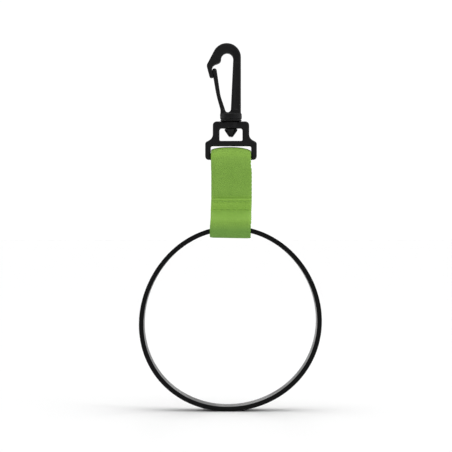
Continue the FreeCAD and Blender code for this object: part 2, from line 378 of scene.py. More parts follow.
def build_edge_rub():
    """Where handling has rubbed the outer edges, broken up so that it isn't an even line."""
    tree, inside, outside = new_group(
        "Edge rub",
        (VECTOR, ("Start", NUMBER, 0.53), ("Full", NUMBER, 0.62), ("Breaks", NUMBER, 900.0)),
        (("Mask", NUMBER),),
    )
    shape = tree.nodes.new("ShaderNodeNewGeometry")
    edge = ramp(tree, shape.outputs["Pointiness"], inside.outputs["Start"], inside.outputs["Full"], 0.0, 1.0)
    spots = noise(tree, inside.outputs["Vector"], inside.outputs["Breaks"], 4.0, 0.65)
    breaks = ramp(tree, spots, 0.3, 0.65, 0.25, 1.0)
    tree.links.new(times(tree, edge, breaks), outside.inputs["Mask"])
    return tree


def build_dust():
    """Fine dust that has settled on what faces up."""
    tree, inside, outside = new_group(
        "Settled dust",
        (VECTOR, ("Specks", NUMBER, 1500.0), ("Amount", NUMBER, 0.3)),
        (("Mask", NUMBER),),
    )
    shape = tree.nodes.new("ShaderNodeNewGeometry")
    facing = split_xyz(tree, shape.outputs["True Normal"])
    up = ramp(tree, facing["Z"], 0.1, 0.95, 0.15, 1.0)
    grit = noise(tree, inside.outputs["Vector"], inside.outputs["Specks"], 5.0, 0.7)
    specks = ramp(tree, grit, 0.48, 0.75, 0.0, 1.0)
    tree.links.new(times(tree, times(tree, up, specks), inside.outputs["Amount"]), outside.inputs["Mask"])
    return tree


def build_yarn():
    """Spun fibres along the second coordinate: streaks of tone and a fine height."""
    tree, inside, outside = new_group(
        "Yarn fibres",
        (VECTOR, ("Across", NUMBER, 90.0), ("Along", NUMBER, 12.0)),
        (("Height", NUMBER), ("Tone", NUMBER)),
    )
    at = split_xyz(tree, inside.outputs["Vector"])
    join = tree.nodes.new("ShaderNodeCombineXYZ")
    tree.links.new(times(tree, at["X"], inside.outputs["Across"]), join.inputs["X"])
    tree.links.new(times(tree, at["Y"], inside.outputs["Along"]), join.inputs["Y"])
    tree.links.new(at["Z"], join.inputs["Z"])
    streak = noise(tree, join.outputs[0], 1.0, 3.0, 0.6)
    tree.links.new(streak, outside.inputs["Height"])
    tree.links.new(ramp(tree, streak, 0.3, 0.7, 0.0, 1.0), outside.inputs["Tone"])
    return tree


def build_weave():
    """Plain weave: warp ends that float over every other pick, side by side in a brick pattern, with a mask
    of painted shade in the gaps between them.
    """
    tree, inside, outside = new_group(
        "Plain weave",
        (VECTOR, ("Ends", NUMBER, 34.0), ("Picks", NUMBER, 20.5)),
        (("Height", NUMBER), ("Gap shade", NUMBER), ("End tone", NUMBER)),
    )
    at = split_xyz(tree, inside.outputs["Vector"])
    end = times(tree, at["X"], inside.outputs["Ends"])
    pick = times(tree, at["Y"], inside.outputs["Picks"])
    column = math_node(tree, "FLOOR", end)
    across = minus(tree, times(tree, math_node(tree, "FRACT", end), 2.0), 1.0)
    rest = math_node(tree, "MAXIMUM", minus(tree, 1.0, times(tree, across, across)), 0.0)
    crown = math_node(tree, "SQRT", rest)
    phase = times(tree, plus(tree, pick, column), pi)
    float_over = plus(tree, times(tree, math_node(tree, "COSINE", phase), 0.5), 0.5)
    height = times(tree, crown, plus(tree, times(tree, float_over, 0.65), 0.35))
    tree.links.new(height, outside.inputs["Height"])
    # The low spots between and under the yarns, as a mask of painted shade.
    tree.links.new(ramp(tree, height, 0.1, 0.6, 1.0, 0.0), outside.inputs["Gap shade"])
    each = tree.nodes.new("ShaderNodeTexWhiteNoise")
    each.noise_dimensions = "1D"
    tree.links.new(column, each.inputs["W"])
    tree.links.new(each.outputs["Value"], outside.inputs["End tone"])
    return tree


MOULDED_GRAIN = build_moulded_grain()
EDGE_RUB = build_edge_rub()
SETTLED_DUST = build_dust()
YARN_FIBRES = build_yarn()
PLAIN_WEAVE = build_weave()


# ---------------------------------------------------------------- materials


def new_material(name):
    material = bpy.data.materials.new(name)
    material.use_nodes = True
    tree = material.node_tree
    return material, tree, tree.nodes["Principled BSDF"]


def object_vector(tree):
    return tree.nodes.new("ShaderNodeTexCoord").outputs["Object"]


def make_black_plastic(name, base, rubbed, rough_low, rough_high, grain, patches):
    """Satin black acetal: fine grain, uneven polish, paler where edges are rubbed, a little dust."""
    material, tree, shader = new_material(name)
    place = object_vector(tree)
    skin = place_group(tree, MOULDED_GRAIN, Vector=place, Grain=grain, Patches=patches)
    rub = place_group(tree, EDGE_RUB, Vector=place)
    dust = place_group(tree, SETTLED_DUST, Vector=place, Specks=1300.0, Amount=0.06)
    patchy = tint(tree, skin.outputs["Polish"], (*base, 1), (*[c * 0.7 for c in base], 1))
    worn = tint(tree, times(tree, rub.outputs["Mask"], 0.55), patchy, (*rubbed, 1))
    dusty = tint(tree, dust.outputs["Mask"], worn, (0.32, 0.31, 0.29, 1))
    tree.links.new(dusty, shader.inputs["Base Color"])
    rough = ramp(tree, skin.outputs["Polish"], 0.0, 1.0, rough_high, rough_low)
    rough = minus(tree, rough, times(tree, rub.outputs["Mask"], 0.08))
    rough = plus(tree, rough, times(tree, dust.outputs["Mask"], 0.6))
    tree.links.new(rough, shader.inputs["Roughness"])
    tree.links.new(bump(tree, skin.outputs["Height"], 0.00003, 0.35), shader.inputs["Normal"])
    shader.inputs["Specular IOR Level"].default_value = 0.17
    return material


def make_webbing_material():
    """Lime polyester webbing: woven ends and picks with painted shade in their gaps, fibres, uneven dye, and
    the painted light and painted shade that are laid on it.
    """
    material, tree, shader = new_material("Lime webbing")
    laid = uv_map(tree, "Laid")
    weave = place_group(tree, PLAIN_WEAVE, Vector=laid, Ends=34.0, Picks=20.5)
    fibres = place_group(tree, YARN_FIBRES, Vector=laid, Across=420.0, Along=16.0)
    place = object_vector(tree)
    dye = ramp(tree, noise(tree, place, 240.0, 3.0, 0.55), 0.3, 0.7, 0.0, 1.0)
    body = tint(tree, dye, (0.210, 0.402, 0.052, 1), (0.236, 0.440, 0.062, 1))
    ends = tint(tree, times(tree, weave.outputs["End tone"], 0.10), body, (0.165, 0.323, 0.040, 1))
    spun = tint(tree, times(tree, fibres.outputs["Tone"], 0.25), ends, (0.282, 0.487, 0.094, 1))
    # Painted shade in the weave's gaps, between and under the yarns.
    woven = tint(tree, times(tree, weave.outputs["Gap shade"], 0.22), spun, (0.092, 0.205, 0.018, 1))
    # Tone map: painted light in X, paler where the webbing faces up to the light; painted shade in Y, darker
    # on the foot and under the bar.
    tone = split_xyz(tree, uv_map(tree, "Tone"))
    painted_light_and_seal = tint(tree, times(tree, tone["X"], 0.5), woven, (0.345, 0.610, 0.078, 1))
    painted_shade = tint(tree, times(tree, tone["Y"], 0.8), painted_light_and_seal, (0.100, 0.245, 0.045, 1))
    tree.links.new(painted_shade, shader.inputs["Base Color"])
    rough = ramp(tree, fibres.outputs["Tone"], 0.0, 1.0, 0.62, 0.78)
    tree.links.new(rough, shader.inputs["Roughness"])
    height = plus(tree, weave.outputs["Height"], times(tree, fibres.outputs["Height"], 0.25))
    tree.links.new(bump(tree, height, 0.00010, 0.55), shader.inputs["Normal"])
    shader.inputs["Specular IOR Level"].default_value = 0.3
    shader.inputs["Sheen Weight"].default_value = 0.12
    shader.inputs["Sheen Roughness"].default_value = 0.45
    shader.inputs["Sheen Tint"].default_value = (0.75, 1.0, 0.5, 1)
    return material


def make_thread_material():
    """Sewing thread in the webbing's colour, with its plies along it."""
    material, tree, shader = new_material("Green thread")
    fibres = place_group(tree, YARN_FIBRES, Vector=uv_map(tree, "Along"), Across=24.0, Along=10.0)
    colour = tint(tree, fibres.outputs["Tone"], (0.200, 0.385, 0.047, 1), (0.250, 0.460, 0.066, 1))
    tree.links.new(colour, shader.inputs["Base Color"])
    tree.links.new(bump(tree, fibres.outputs["Height"], 0.00004, 0.7), shader.inputs["Normal"])
    tree.links.new(ramp(tree, fibres.outputs["Tone"], 0.0, 1.0, 0.45, 0.6), shader.inputs["Roughness"])
    shader.inputs["Specular IOR Level"].default_value = 0.35
    return material


def make_rubber_material():
    """Black silicone: smooth skin, faint haze, dust and a few rubbed spots on its edges."""
    material, tree, shader = new_material("Black silicone")
    place = object_vector(tree)
    skin = place_group(tree, MOULDED_GRAIN, Vector=place, Grain=2600.0, Patches=130.0)
    rub = place_group(tree, EDGE_RUB, Vector=place, Start=0.54, Full=0.7, Breaks=500.0)
    dust = place_group(tree, SETTLED_DUST, Vector=place, Specks=1100.0, Amount=0.04)
    haze = tint(tree, skin.outputs["Polish"], (0.0020, 0.0020, 0.0022, 1), (0.0036, 0.0036, 0.0039, 1))
    worn = tint(tree, times(tree, rub.outputs["Mask"], 0.3), haze, (0.024, 0.024, 0.025, 1))
    tree.links.new(tint(tree, dust.outputs["Mask"], worn, (0.30, 0.29, 0.28, 1)), shader.inputs["Base Color"])
    rough = ramp(tree, skin.outputs["Polish"], 0.0, 1.0, 0.27, 0.36)
    rough = plus(tree, rough, times(tree, dust.outputs["Mask"], 0.7))
    tree.links.new(rough, shader.inputs["Roughness"])
    tree.links.new(bump(tree, skin.outputs["Height"], 0.00002, 0.25), shader.inputs["Normal"])
    shader.inputs["Specular IOR Level"].default_value = 0.11
    return material


RUBBED_PLASTIC = (0.030, 0.030, 0.031)
HOOK_PLASTIC = make_black_plastic(
    "Hook plastic", base=(0.0058, 0.0058, 0.0062), rubbed=RUBBED_PLASTIC,
    rough_low=0.36, rough_high=0.50, grain=3800.0, patches=210.0,
)
FRAME_PLASTIC = make_black_plastic(
    "Frame plastic", base=(0.0056, 0.0056, 0.0062), rubbed=RUBBED_PLASTIC,
    rough_low=0.42, rough_high=0.56, grain=3200.0, patches=260.0,
)
LIME_WEBBING = make_webbing_material()
GREEN_THREAD = make_thread_material()
BLACK_SILICONE = make_rubber_material()


# ---------------------------------------------------------------- snap hook


HOOK_OUTLINE = (
    (5.05, -20.6, 0), (5.05, 5.95, 5.2), (-3.29, 5.95, 5.2), (-7.56, -2.18, 1.5), (-6.28, -7.0, 0.75),
    (-5.02, -6.6, 0.12), (-5.8, -2.54, 1.8), (-2.2, -1.22, 1.6), (-2.2, 2.2, 2.2), (2.29, 2.2, 2.2),
    (1.3, -19.35, 1.25), (-0.45, -19.35, 1.0), (-1.0, -17.7, 0.2), (-2.45, -17.7, 0.2), (-2.5, -20.6, 0),
)
HOOK_DEPTH = 4.2
NOSE_EDGE = 0.35
SPINE_EDGE_MORE = 0.5
NOSE_TO_SPINE = (-5.4, -3.6)
COLLAR_PROFILE = (
    (-0.5, -19.75, 0), (3.98, -19.75, 0.5), (4.0, -21.8, 0.2), (3.65, -21.85, 0.1), (3.65, -22.05, 0.1),
    (3.92, -22.08, 0.1), (3.85, -22.6, 0.15), (-0.5, -22.6, 0),
)
SHANK_RADIUS = 1.55
SHANK_TOP = -22.0
SHANK_FOOT = -26.0
BARB_PROFILE = (
    (-0.5, -25.45, 0), (2.38, -25.45, 0.12), (2.38, -26.05, 0.4), (0.55, -28.6, 0.5), (-0.5, -28.6, 0),
)
BARB_SLOT_HALF = 0.24
BARB_SLOT_TOP = -24.6
BARB_SLOT_TURNS = (38, 128)

# A shallow sink channel down both faces of the spine.
CHANNEL_X = 3.45
CHANNEL_FLAT_HALF = 0.35
CHANNEL_MIDDLE = -9.8
CHANNEL_LENGTH_HALF = 8.2
CHANNEL_PROUD = 0.1
CHANNEL_RADIUS = 0.42


def hook_field(x, y, z):
    flat = outline_field(rounded(HOOK_OUTLINE), *np.broadcast_arrays(x, z))
    edge = NOSE_EDGE + SPINE_EDGE_MORE * smooth(*NOSE_TO_SPINE, x + 0 * z)
    body = plate_field(flat, y, HOOK_DEPTH, edge)
    out = np.hypot(x - SWIVEL_X, y)
    turned = np.broadcast_arrays(out, z + 0 * out)
    body = joined(body, outline_field(rounded(COLLAR_PROFILE), *turned), 0.35)
    shank = np.maximum(out - SHANK_RADIUS, np.maximum(z - SHANK_TOP, SHANK_FOOT - z))
    stud = joined(shank, outline_field(rounded(BARB_PROFILE), *turned), 0.12)
    for turn in BARB_SLOT_TURNS:
        across = (x - SWIVEL_X) * cos(radians(turn)) + y * sin(radians(turn))
        stud = cut(stud, np.maximum(np.abs(across) - BARB_SLOT_HALF, z - BARB_SLOT_TOP), 0.05)
    body = joined(body, stud, 0.15)
    beside = np.maximum(np.abs(x - CHANNEL_X) - CHANNEL_FLAT_HALF, 0)
    channel = np.hypot(beside, np.abs(y) - HOOK_DEPTH / 2 - CHANNEL_PROUD)
    channel = np.hypot(channel, np.maximum(np.abs(z - CHANNEL_MIDDLE) - CHANNEL_LENGTH_HALF, 0))
    return cut(body, channel - CHANNEL_RADIUS, 0.25)


hook = moulded("snap_hook", (-7.8, -4.1, -28.8), (5.5, 4.1, 6.1), 0.14, hook_field, HOOK_PLASTIC)


# ---------------------------------------------------------------- gate


GATE_OUTLINE = (
    (-5.63, -3.3, 0.75), (-3.9, -3.3, 0.75), (-2.45, -13.3, 15), (-0.78, -18.3, 0.6), (-0.95, -19.9, 0.2),
    (-2.3, -19.9, 0.2), (-2.46, -18.4, 0.6), (-4.0, -12.9, 40),
)
GATE_DEPTH = 3.4
GATE_EDGE = 0.45


def gate_field(x, y, z):
    flat = outline_field(rounded(GATE_OUTLINE), *np.broadcast_arrays(x, z))
    return plate_field(flat, y, GATE_DEPTH, GATE_EDGE)


gate = moulded("hook_gate", (-5.8, -1.8, -20.0), (-0.5, 1.8, -3.1), 0.11, gate_field, HOOK_PLASTIC)


# ---------------------------------------------------------------- swivel frame


# Right-hand halves, from the swivel's line outwards.
FRAME_HALF_OUTLINE = (
    (6.65, FRAME_TOP, 1.4), (6.7, -28.85, 2.4), (9.45, -30.4, 1.0), (9.45, FRAME_FOOT, 1.3),
)
UPPER_WINDOW = ((4.2, -25.28, 0.75), (4.2, -29.82, 0.4))
STRAP_SLOT = ((7.4, -31.78, 0.6), (7.4, -36.9, 0))
FRAME_DEPTH = 3.8
FRAME_EDGE = 0.72
BAR_TOP = -34.45
BAR_LENGTH_HALF = 8.3
BAR_DEPTH_HALF = 1.5
BAR_EDGE = 1.05
HUB_RADIUS = 2.7
HUB_FOOT = -25.2
HUB_EDGE = 0.3
BORE_RADIUS = 1.68


def mirrored(half):
    """A closed outline from its right-hand corners, about the swivel's line."""
    right = [(SWIVEL_X + u, v, r) for u, v, r in half]
    left = [(SWIVEL_X - u, v, r) for u, v, r in reversed(half)]
    return rounded(right + left)


def frame_field(x, y, z):
    flat = outline_field(mirrored(FRAME_HALF_OUTLINE), *np.broadcast_arrays(x, z))
    for opening in (UPPER_WINDOW, STRAP_SLOT):
        flat = np.maximum(flat, -outline_field(mirrored(opening), *np.broadcast_arrays(x, z)))
    body = plate_field(flat, y, FRAME_DEPTH, FRAME_EDGE)
    bar_middle = (BAR_TOP + FRAME_FOOT) / 2
    halves = (BAR_LENGTH_HALF, BAR_DEPTH_HALF, (BAR_TOP - FRAME_FOOT) / 2)
    bar = box_field((x - SWIVEL_X, y, z - bar_middle), halves, BAR_EDGE)
    body = joined(body, bar, 0.3)
    out = np.hypot(x - SWIVEL_X, y)
    hub_level = z - (FRAME_TOP + HUB_FOOT) / 2
    hub_height = FRAME_TOP - HUB_FOOT
    body = joined(body, plate_field(out - HUB_RADIUS, hub_level, hub_height, HUB_EDGE), 0.4)
    bore = np.maximum(out - BORE_RADIUS, np.abs(hub_level) - hub_height / 2 - 1)
    return cut(body, bore, 0.12)


swivel_frame = moulded(
    "strap_frame", (SWIVEL_X - 9.6, -2.9, FRAME_FOOT - 0.1), (SWIVEL_X + 9.6, 2.9, FRAME_TOP + 0.1),
    0.14, frame_field, FRAME_PLASTIC,
)


# ---------------------------------------------------------------- webbing


# The webbing's middle line from its hidden end, as (front to back, up, bend radius).
WEBBING_ROUTE = (
    (0.0, -55.35, 0), (0.0, -51.4, 6), (-0.05, -45.0, 12), (-2.6, -37.6, 6), (-2.45, -33.15, 2.4),
    (2.45, -33.15, 2.4), (2.6, -37.6, 6), (1.15, -45.0, 12), (1.1, -51.4, 6), (1.1, -55.7, 1.2),
    (6.8, -58.95, 1.6), (6.8, -64.85, 1.25), (-6.8, -64.85, 1.25), (-6.8, -58.95, 1.6),
    (-1.1, -55.7, 1.2), (-1.1, LAP_TOP, 0),
)
SELVAGE = 0.45
SCALLOP = 0.07
CUT_ROUND = 0.5


def hump(distance, width):
    """1 where distance is zero, fading out on both sides."""
    return np.exp(-((distance / width) ** 2))


def webbing_stations():
    """Even stations: distance run, middle line (y, z) and outward normal (y, z), and the whole length."""
    line = rounded(WEBBING_ROUTE, closed=False, chord=0.05)
    steps = np.hypot(*np.diff(line, axis=0).T)
    length = np.concatenate([[0], np.cumsum(steps)])
    total = length[-1]
    run = np.linspace(0, total, int(total / PICK * STATIONS_PER_PICK))
    mid_y = np.interp(run, length, line[:, 0])
    mid_z = np.interp(run, length, line[:, 1])
    slope_y, slope_z = np.gradient(mid_y), np.gradient(mid_z)
    size = np.hypot(slope_y, slope_z)
    return run, mid_y, mid_z, slope_z / size, -slope_y / size, total


def webbing_section():
    """One section: across the outer face, round a selvage, back along the inner face, round the other."""
    flat = np.linspace(-1, 1, 19)[1:-1]
    turn = np.radians([-60, -30, 0, 30, 60])
    across = np.concatenate([flat, 1 + 0 * turn, flat[::-1], -1 + 0 * turn])
    bulge = np.concatenate([0 * flat, np.cos(turn), 0 * flat, -np.cos(turn)])
    rise = np.concatenate([1 + 0 * flat, -np.sin(turn), -1 + 0 * flat, np.sin(turn)])
    return across, bulge, rise


def webbing_painted_light_and_shade(run, to_go, mid_y, mid_z):
    """Painted light and painted shade along the webbing, as two amounts.

    Painted light where the webbing faces up over the top bend and the slope below the seam, on the lap, just
    above the lap's end and at the cut end, where it is partly the sealed bead's own paler colour and partly a
    painted highlight; painted shade on the foot, which faces down, under the bead and a little below the top
    bend.
    """
    bend = smooth(-36.6, -35.2, mid_z) * smooth(-32.6, -33.6, mid_z)
    slope = smooth(-55.6, -57.2, mid_z) * smooth(-60.4, -58.8, mid_z)
    painted_light_and_seal = (0.45 * bend + 0.35 * slope) * (mid_y < 0)
    painted_light_and_seal = painted_light_and_seal + 0.75 * (to_go < 8) * smooth(-51.2, -51.8, mid_z) * smooth(-56.5, -54.8, mid_z)
    painted_light_and_seal = painted_light_and_seal + hump(to_go - 0.3, 0.28) + 0.9 * (run < 45) * hump(mid_z - LAP_TOP - 0.35, 0.45)
    painted_shade = 0.7 * smooth(-59.8, -63.2, mid_z) + 0.15 * hump(to_go - 1.0, 0.3)
    return painted_light_and_seal, painted_shade + 0.04 * smooth(-36.5, -39.0, mid_z)


def tube_faces(count, ring):
    """Quads between rings of points, and a cap at each end."""
    faces = []
    for i in range(count - 1):
        a, b = i * ring, (i + 1) * ring
        for j in range(ring):
            k = (j + 1) % ring
            faces.append((a + j, a + k, b + k, b + j))
    faces.append(tuple(reversed(range(ring))))
    faces.append(tuple((count - 1) * ring + j for j in range(ring)))
    return faces


def make_webbing():
    # Values along the webbing are columns, and values round its section are rows.
    *stations, total = webbing_stations()
    run, mid_y, mid_z, normal_y, normal_z = (values[:, None] for values in stations)
    across, bulge, rise = webbing_section()
    to_go = total - run
    picks = run / PICK
    top = smooth(-38.0, -34.6, mid_z)
    tucked = smooth(-41.0, -38.4, mid_z)
    loop = smooth(-57.0, -63.0, mid_z)

    # Width: it tucks in between the frame's legs, and its right selvage is scalloped by the picks.
    half = WEB_HALF - 0.05 - 0.12 * tucked - 0.06 * smooth(1.1, 0.0, to_go)
    scallop = SCALLOP * (1 - np.abs(np.sin(pi * picks / 2)) ** 0.7)
    right = half - 0.42 - 3.2 * scallop
    left = half - SELVAGE - 0.4 * scallop
    x = across * np.where(across > 0, right, left) + bulge * SELVAGE
    u = x / WEB_HALF

    # Thickness: each pick swells it, the cut end is a sealed bead, and the stitches pull it in.
    thick = WEB_THICK / 2 * (1 + 0.06 * np.cos(2 * pi * picks) - 0.10 * top)
    thick = thick * (1 + 0.30 * hump(to_go - 0.4, 0.32) - 0.12 * hump(to_go - 1.1, 0.32))
    nearness = 1 - np.clip(np.minimum(run, to_go) / CUT_ROUND, 0, 1)
    thick = thick * (0.25 + 0.75 * np.sqrt(1 - nearness ** 2))
    rows = sum(hump(mid_z - row, 0.42) for row in SEAM_ROWS)
    sewn = (rise > 0.5) & (np.abs(mid_y) > 0.6) & (np.abs(u) < 0.92)
    height = (rise * thick - 0.07 * rows * sewn) * (1 - 0.12 * np.abs(u) ** 8)

    # Shape: slow ripples, a slight lean, an arched top under the bar and a foot that hangs a little low.
    ripple = 0.05 * np.sin(0.33 * run) * np.cos(2.3 * u + 0.09 * run)
    ripple = ripple + 0.03 * np.sin(0.9 * run + 1) * np.sin(3.1 * u)
    free = np.where(np.abs(mid_y) > 1.2, 1, 0.25) * (1 - 0.7 * top)
    y = mid_y + normal_y * height + ripple * free
    z = mid_z + normal_z * height
    z = z + top * (0.6 - 1.05 * np.abs(u + 0.06) ** 2.6) - loop * 0.14 * u
    lean = 0.2 * smooth(-57.0, -50.0, mid_z) * (1 - smooth(-41.5, -38.4, mid_z))
    lean = lean - 0.28 * smooth(-57.5, -62.5, mid_z)

    # Painted light and painted shade along the webbing, which the Tone map carries to the material.
    painted_light_and_seal, painted_shade = webbing_painted_light_and_shade(run, to_go, mid_y, mid_z)
    # Painted shadow that the crossbar casts along the webbing's top, stronger to the left.
    painted_bar_shadow = top * smooth(-32.95, -32.45, z + 0.9 * np.abs(u + 0.2) ** 2.6) * smooth(0.75, 0.1, u)
    painted_shade = np.clip(painted_shade + 0.9 * painted_bar_shadow * (rise > 0), 0, 1)
    points = np.stack([SWIVEL_X + lean + x, y, z], axis=-1).reshape(-1, 3)
    webbing = finish_mesh("green_webbing", points, tube_faces(len(run), len(across)), LIME_WEBBING)
    corners = np.array([corner.vertex_index for corner in webbing.data.loops])
    for title, first, second in (("Laid", (u + 1) / 2, run / (2 * WEB_HALF)), ("Tone", painted_light_and_seal, painted_shade)):
        values = np.stack(np.broadcast_arrays(first + 0 * u, second), axis=-1).reshape(-1, 2)
        layer = webbing.data.uv_layers.new(name=title)
        layer.data.foreach_set("uv", values[corners].astype(np.float32).ravel())
    webbing.data.uv_layers.active_index = 0
    return webbing, total


webbing, webbing_length = make_webbing()


# ---------------------------------------------------------------- node trees that build shapes


def new_shape_tree(name, inputs):
    """A Geometry Nodes tree, its named inputs' outputs inside it, its output node and its sockets."""
    tree = bpy.data.node_groups.new(name, "GeometryNodeTree")
    tree.interface.new_socket("Geometry", in_out="INPUT", socket_type="NodeSocketGeometry")
    sockets = {}
    for label, kind, default in inputs:
        socket = tree.interface.new_socket(label, in_out="INPUT", socket_type=kind)
        socket.default_value = default
        sockets[label] = socket.identifier
    tree.interface.new_socket("Geometry", in_out="OUTPUT", socket_type="NodeSocketGeometry")
    return tree, tree.nodes.new("NodeGroupInput").outputs, tree.nodes.new("NodeGroupOutput"), sockets


def shape_node(tree, kind, **values):
    """A node's first output. Keywords are its properties as set_..., then its sockets by name or as _0."""
    node = tree.nodes.new(kind)
    for name, value in values.items():
        if name.startswith("set_"):
            setattr(node, name[4:], value)
    for name, value in values.items():
        if name.startswith("set_"):
            continue
        socket = node.inputs[int(name[1:])] if name[0] == "_" else node.inputs[name.replace("_", " ")]
        plug(tree, value, socket)
    return node.outputs[0]


def grow(name, tree, sockets, values):
    """Runs a tree with its inputs set, and keeps the result as a plain mesh."""
    obj = link(name, bpy.data.meshes.new(name))
    grown = obj.modifiers.new("Grow", "NODES")
    grown.node_group = tree
    for label, value in values.items():
        grown[sockets[label]] = value
    return settle(obj)


# ---------------------------------------------------------------- wrist band


PARTING_WIDTH = 0.22 * MM


def build_band_tree():
    """A hoop pressed a little out of round by three waves, swept with a soft-edged strip."""
    tree, get, out, sockets = new_shape_tree(
        "Wrist band",
        (
            ("Radius", NUMBER, 0.033), ("Width", NUMBER, 0.012), ("Thickness", NUMBER, 0.0015),
            ("Edge", NUMBER, 0.0004), ("Shrink", NUMBER, 0.0), ("Sag", NUMBER, 0.0),
            ("Sag turn", NUMBER, 0.0), ("Oval", NUMBER, 0.0), ("Oval turn", NUMBER, 0.0),
            ("Lobes", NUMBER, 0.0), ("Lobes turn", NUMBER, 0.0), ("Parting", NUMBER, 0.00008),
            ("Centre X", NUMBER, 0.0), ("Centre Z", NUMBER, 0.0),
        ),
    )
    hoop = shape_node(tree, "GeometryNodeCurvePrimitiveCircle", Resolution=420, Radius=get["Radius"])
    place = shape_node(tree, "GeometryNodeInputPosition")
    at = split_xyz(tree, place)
    # The angle runs from the lowest point towards +X.
    angle = math_node(tree, "ARCTAN2", at["X"], times(tree, at["Y"], -1.0))
    change = get["Shrink"]
    for waves, amount in enumerate(("Sag", "Oval", "Lobes"), start=1):
        phase = minus(tree, times(tree, angle, float(waves)), get[amount + " turn"])
        change = plus(tree, change, times(tree, math_node(tree, "COSINE", phase), get[amount]))
    factor = math_node(tree, "DIVIDE", change, get["Radius"])
    offset = shape_node(tree, "ShaderNodeVectorMath", set_operation="SCALE", _0=place, Scale=factor)
    pressed = shape_node(tree, "GeometryNodeSetPosition", Geometry=hoop, Offset=offset)
    upright = shape_node(tree, "GeometryNodeSetCurveNormal", set_mode="Z_UP", Curve=pressed)
    section = shape_node(
        tree, "GeometryNodeCurvePrimitiveQuadrilateral", Width=get["Thickness"], Height=get["Width"],
    )
    soft = shape_node(
        tree, "GeometryNodeFilletCurve", set_mode="POLY", Curve=section, Radius=get["Edge"], Count=5,
    )
    fine = shape_node(tree, "GeometryNodeResampleCurve", Curve=soft, Count=96)
    # A faint parting ridge round the middle of the wall.
    spot = split_xyz(tree, shape_node(tree, "GeometryNodeInputPosition"))
    height = math_node(tree, "DIVIDE", spot["Y"], PARTING_WIDTH)
    line = math_node(tree, "EXPONENT", times(tree, times(tree, height, height), -1.0))
    proud = times(tree, times(tree, line, get["Parting"]), math_node(tree, "SIGN", spot["X"]))
    shift = shape_node(tree, "ShaderNodeCombineXYZ", X=proud)
    seamed = shape_node(tree, "GeometryNodeSetPosition", Geometry=fine, Offset=shift)
    swept = shape_node(tree, "GeometryNodeCurveToMesh", Curve=upright, Profile_Curve=seamed)
    centre = shape_node(tree, "ShaderNodeCombineXYZ", X=get["Centre X"], Z=get["Centre Z"])
    stood = shape_node(
        tree, "GeometryNodeTransform", Geometry=swept, Translation=centre, Rotation=(pi / 2, 0, 0),
    )
    even = shape_node(tree, "GeometryNodeSetShadeSmooth", Geometry=stood)
    solid = shape_node(tree, "GeometryNodeRealizeInstances", Geometry=even)
    coat = shape_node(tree, "GeometryNodeSetMaterial", Geometry=solid, Material=BLACK_SILICONE)
    tree.links.new(coat, out.inputs[0])
    return tree, sockets


BAND_SHAPE = {
    "Radius": (BAND_OUTER - BAND_THICK / 2) * MM, "Width": BAND_WIDTH * MM, "Thickness": BAND_THICK * MM,
    "Edge": 0.22 * MM, "Shrink": -0.235 * MM,
    "Sag": 0.42 * MM, "Sag turn": radians(-42),
    "Oval": 0.4 * MM, "Oval turn": radians(-55),
    "Lobes": 0.38 * MM, "Lobes turn": radians(-168),
    "Parting": 0.06 * MM, "Centre X": SWIVEL_X * MM, "Centre Z": BAND_CENTRE * MM,
}
band = grow("wrist_band_rubber", *build_band_tree(), BAND_SHAPE)


# ---------------------------------------------------------------- stitches


STITCH_SLANT = 0.06 * MM
STITCH_TILT = 0.05


